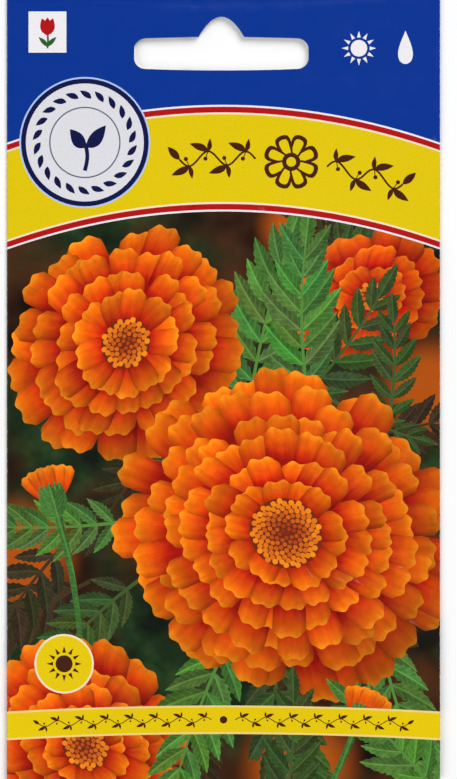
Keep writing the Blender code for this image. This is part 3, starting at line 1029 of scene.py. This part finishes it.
def build_wrapper():
    sheet = draw_print()
    places, triangles, shapes = printed_face(sheet)
    edges = border(triangles)
    inner_places, inner_triangles, matched = inside_face(places, edges)
    rim = rim_faces(edges, matched, len(places))
    points = np.concatenate([fold(places, PAPER / 2, 1.0), fold(inner_places, -PAPER / 2, 0.0)])
    used, faces = compact(np.concatenate([triangles, inner_triangles + len(places), rim]))
    mesh = bpy.data.meshes.new("packet_wrapper")
    mesh.from_pydata(points[used].tolist(), [], faces.tolist())
    sizes = [len(triangles), len(inner_triangles), len(rim)]
    mesh.polygons.foreach_set("material_index", np.repeat(np.arange(3, dtype=np.int32), sizes))
    add_print_layers(mesh, sheet, places, triangles, shapes)
    baked = bake_places(places, triangles, inner_places, inner_triangles, edges)
    mesh.uv_layers.new(name="OFBake").uv.foreach_set("vector", baked.astype(np.float32).ravel())
    flat = np.concatenate([places, inner_places])[used]
    store(mesh, "flat", "POINT", np.pad(flat, ((0, 0), (0, 1))))
    mesh.shade_smooth()
    mesh.set_sharp_from_angle(angle=SHARP_ANGLE)
    return put("packet_wrapper", mesh)


# Materials

class Nodes:
    """A material's nodes, linked as they are made."""

    def __init__(self, name):
        self.material = bpy.data.materials.new(name)
        self.material.use_nodes = True
        self.tree = self.material.node_tree

    def add(self, kind, inputs, output=0, **settings):
        """Makes a node, and gives one of its outputs."""
        made = self.tree.nodes.new("ShaderNode" + kind)
        for name, value in settings.items():
            setattr(made, name, value)
        self.feed(made, inputs)
        return made.outputs[output]

    def feed(self, node, inputs):
        for name, value in inputs.items():
            socket = node.inputs[name]
            if isinstance(value, bpy.types.NodeSocket):
                self.tree.links.new(value, socket)
            else:
                socket.default_value = (*value, 1.0) if socket.type == "RGBA" else value

    def math(self, operation, *values):
        return self.add("Math", dict(enumerate(values)), operation=operation)

    def read(self, name, output="Fac"):
        return self.add("Attribute", {}, output, attribute_name=name)

    def place(self):
        return self.add("TexCoord", {}, "Object")

    def split(self, vector):
        return self.add("SeparateXYZ", {"Vector": vector}).node.outputs

    def noise(self, vector, scale, detail=2.0, roughness=0.5):
        inputs = {"Vector": vector, "Scale": scale, "Detail": detail, "Roughness": roughness}
        return self.add("TexNoise", inputs)

    def ramp(self, factor, stops):
        made = self.add("ValToRGB", {"Fac": factor})
        points = made.node.color_ramp.elements
        while len(points) < len(stops):
            points.new(0.5)
        for point, (position, colour) in zip(points, stops):
            point.position = position
            point.color = (*colour, 1.0)
        return made

    def mix(self, factor, first, second, blend="MIX"):
        """A mix node has its colours at inputs 6 and 7 and at output 2."""
        return self.add("Mix", {0: factor, 6: first, 7: second}, 2, data_type="RGBA", blend_type=blend)

    def span(self, value, low, high, to_low=0.0, to_high=1.0):
        inputs = {"Value": value, "From Min": low, "From Max": high, "To Min": to_low, "To Max": to_high}
        return self.add("MapRange", inputs, interpolation_type="SMOOTHSTEP")

    def vary(self, noise, low, high):
        """Spreads a noise, which is mostly between 0.3 and 0.7, from low to high."""
        return self.span(noise, 0.3, 0.7, low, high)

    def stretch(self, run, *scales):
        """A vector of a run's values across, along and for variation, each times its own scale."""
        scaled = [self.math("MULTIPLY", run[at], scale) for at, scale in zip((1, 0, 2), scales)]
        return self.add("CombineXYZ", dict(zip("XYZ", scaled)))

    def scale(self, colour, factor):
        return self.add("VectorMath", {0: colour, "Scale": factor}, operation="SCALE")

    def surface(self, colour, roughness, bump=None, level=0.5):
        """Feeds the shader, and gives the material. bump is a height, its strength and its distance."""
        inputs = {"Base Color": colour, "Roughness": roughness, "Specular IOR Level": level}
        if bump:
            inputs["Normal"] = self.add("Bump", dict(zip(("Height", "Strength", "Distance"), bump)))
        self.feed(self.tree.nodes["Principled BSDF"], inputs)
        return self.material


def printed_paper():
    """Coated paper under glossy ink. Petals and leaves are shaded along their own axes."""
    nodes = Nodes("printed_paper")
    ink = nodes.read("ink", "Color")
    kind = nodes.read("kind")
    light = nodes.read("light")
    flat = nodes.read("flat", "Vector")
    run = nodes.split(nodes.read("run", "Vector"))
    petal = petal_colour(nodes, ink, run, light)
    leaf = leaf_colour(nodes, ink, run)
    greens = nodes.ramp(nodes.noise(flat, 0.1, 3.0), BACKDROP_GREENS)
    browns = nodes.ramp(nodes.noise(flat, 0.07), BACKDROP_BROWNS)
    backdrop = nodes.mix(nodes.span(nodes.noise(flat, 0.045, 1.0), 0.38, 0.56), greens, browns)
    haze = nodes.mix(nodes.span(run[0], 0.35, 1.0, 0.85, 0.0), backdrop, nodes.scale(ink, 0.55))
    colour = ink
    for sort, look in ((BACKDROP, backdrop), (SOFT, haze), (LEAF, leaf), (PETAL, petal)):
        colour = nodes.mix(nodes.math("GREATER_THAN", kind, sort - 0.5), colour, look)
    colour = nodes.mix(fold_rub(nodes, flat), colour, PAPER_WHITE)
    grain = nodes.vary(nodes.noise(flat, 2.6, 3.0, 0.7), 0.96, 1.04)
    smear = nodes.vary(nodes.noise(flat, 0.22, 3.0), 0.22, 0.32)
    ripple = (nodes.noise(flat, 1.3, 4.0), 0.05, 0.00004)
    return nodes.surface(nodes.scale(colour, grain), smear, ripple, 0.16)


def fold_rub(nodes, flat):
    """Where handling has rubbed the ink off the crest of a side fold, in broken traces."""
    reach = nodes.math("ABSOLUTE", nodes.split(flat)["X"])
    apart = nodes.math("ABSOLUTE", nodes.math("SUBTRACT", reach, FOLD_X + SIDE_ARC / 2))
    crest = nodes.span(apart, 0.05, 0.3, 1.0, 0.0)
    traces = nodes.span(nodes.noise(flat, 1.1, 5.0, 0.7), 0.5, 0.68, 0.0, 0.55)
    return nodes.math("MULTIPLY", crest, traces)


def petal_colour(nodes, ink, run, light):
    """Deep orange in the row's shadow, orange on the blade, and yellow at the toothed rim."""
    along, across, variation = run
    side = nodes.math("ABSOLUTE", across)
    streaks = nodes.noise(nodes.stretch(run, 4.5, 0.9, 40.0), 1.0, 3.0, 0.6)
    reach = nodes.math("MULTIPLY_ADD", nodes.math("SUBTRACT", streaks, 0.5), 0.3, along)
    colour = nodes.ramp(reach, PETAL_BLADE)
    ribs = nodes.math("COSINE", nodes.math("MULTIPLY", across, 9.0))
    shade = nodes.math("MULTIPLY_ADD", ribs, 0.05, nodes.span(side, 0.45, 1.05, 1.0, 0.66))
    ruffles = nodes.noise(nodes.stretch(run, 1.3, 2.6, 70.0), 1.0)
    own = nodes.span(variation, 0.0, 1.0, 0.88, 1.1)
    for share in (nodes.vary(ruffles, 0.86, 1.12), own, light):
        shade = nodes.math("MULTIPLY", shade, share)
    return nodes.mix(1.0, nodes.scale(colour, shade), ink, "MULTIPLY")


def leaf_colour(nodes, ink, run):
    """A pale midrib, side veins that lean to the tip, and one half darker than the other."""
    along, across, _ = run
    side = nodes.math("ABSOLUTE", across)
    rib = nodes.span(side, 0.04, 0.14, 1.0, 0.0)
    comb = nodes.math("MULTIPLY_ADD", side, -1.4, nodes.math("MULTIPLY", along, 8.0))
    veins = nodes.span(nodes.math("PINGPONG", comb, 0.5), 0.36, 0.5, 0.0, 0.55)
    half = nodes.span(across, -0.15, 0.15, 0.74, 1.16)
    mottle = nodes.noise(nodes.stretch(run, 1.0, 3.0, 30.0), 2.0)
    shade = nodes.math("MULTIPLY", half, nodes.vary(mottle, 0.8, 1.2))
    lines = nodes.math("MAXIMUM", rib, veins)
    return nodes.scale(ink, nodes.math("MULTIPLY_ADD", lines, 0.9, shade))


def plain_paper(name, grain_scale):
    """Uncoated paper, with its fibres."""
    nodes = Nodes(name)
    fibres = nodes.noise(nodes.read("flat", "Vector"), grain_scale, 6.0, 0.7)
    colour = nodes.scale(PAPER_WHITE, nodes.span(fibres, 0.25, 0.75, 0.93, 1.03))
    return nodes.surface(colour, 0.85, (fibres, 0.15, 0.00005))


def grained(name, scale, detail, tones, roughness, strength):
    """One noise gives the colour, the roughness and the relief."""
    nodes = Nodes(name)
    grain = nodes.noise(nodes.place(), scale, detail)
    return nodes.surface(nodes.ramp(grain, tones), nodes.vary(grain, *roughness), (grain, strength, 0.0001))


def pale_floor():
    nodes = Nodes("pale_floor")
    tones = nodes.ramp(nodes.noise(nodes.place(), 6.0, 3.0), FLOOR_TONES)
    return nodes.surface(tones, 0.9, level=0.1)


# The stage

def add_camera():
    """Straight above the packet, framed as the photograph frames it."""
    pixel = 2 * HALF_WIDTH * MM / (PACKET_RIGHT_PX - PACKET_LEFT_PX)
    middle_px = (PACKET_LEFT_PX + PACKET_RIGHT_PX) / 2
    camera = put("camera", bpy.data.cameras.new("camera"))
    camera.location = ((PHOTO_WIDTH_PX / 2 - middle_px) * pixel, 0.0, CAMERA_HEIGHT)
    camera.data.sensor_width = SENSOR
    camera.data.lens = SENSOR * CAMERA_HEIGHT / (PHOTO_HEIGHT_PX * pixel)
    bpy.context.scene.camera = camera


def add_floor():
    mesh = bpy.data.meshes.new("floor")
    corners = [(x, y, 0.0) for x, y in box(-FLOOR_HALF, -FLOOR_HALF, FLOOR_HALF, FLOOR_HALF)]
    mesh.from_pydata(corners, [], [(0, 1, 2, 3)])
    mesh.materials.append(pale_floor())
    floor = put("floor", mesh)
    floor.location.z = -FLOOR_DROP


def light_stage():
    """A plain pale world, and soft round lights that face the packet."""
    world = bpy.data.worlds.new("studio")
    world.use_nodes = True
    background = world.node_tree.nodes["Background"]
    background.inputs["Color"].default_value = (1.0, 1.0, 1.0, 1.0)
    background.inputs["Strength"].default_value = WORLD_LIGHT
    bpy.context.scene.world = world
    for name, place, size, power in LIGHTS:
        light = put(name, bpy.data.lights.new(name, "AREA"))
        light.data.shape = "DISK"
        light.data.size = size
        light.data.energy = power
        light.location = place
        light.rotation_euler = Vector(place).to_track_quat("Z", "Y").to_euler()
    bpy.context.scene.view_settings.view_transform = "Standard"


def dress():
    wrapper = build_wrapper()
    for material in (printed_paper(), plain_paper("paper_inside", 1.6), plain_paper("paper_edge", 3.0)):
        wrapper.data.materials.append(material)
    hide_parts("wrapper")
    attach(wrapper, "root")
    glue = grained("dried_glue", 420.0, 4.0, GLUE_TONES, (0.3, 0.55), 0.3)
    coat = grained("seed_coat", 2600.0, 3.0, SEED_TONES, (0.55, 0.8), 0.5)
    for name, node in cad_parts.items():
        if name != "wrapper":
            node.data.materials.clear()
            node.data.materials.append(glue if name.endswith("_glue") else coat)


add_camera()
add_floor()
light_stage()
dress()
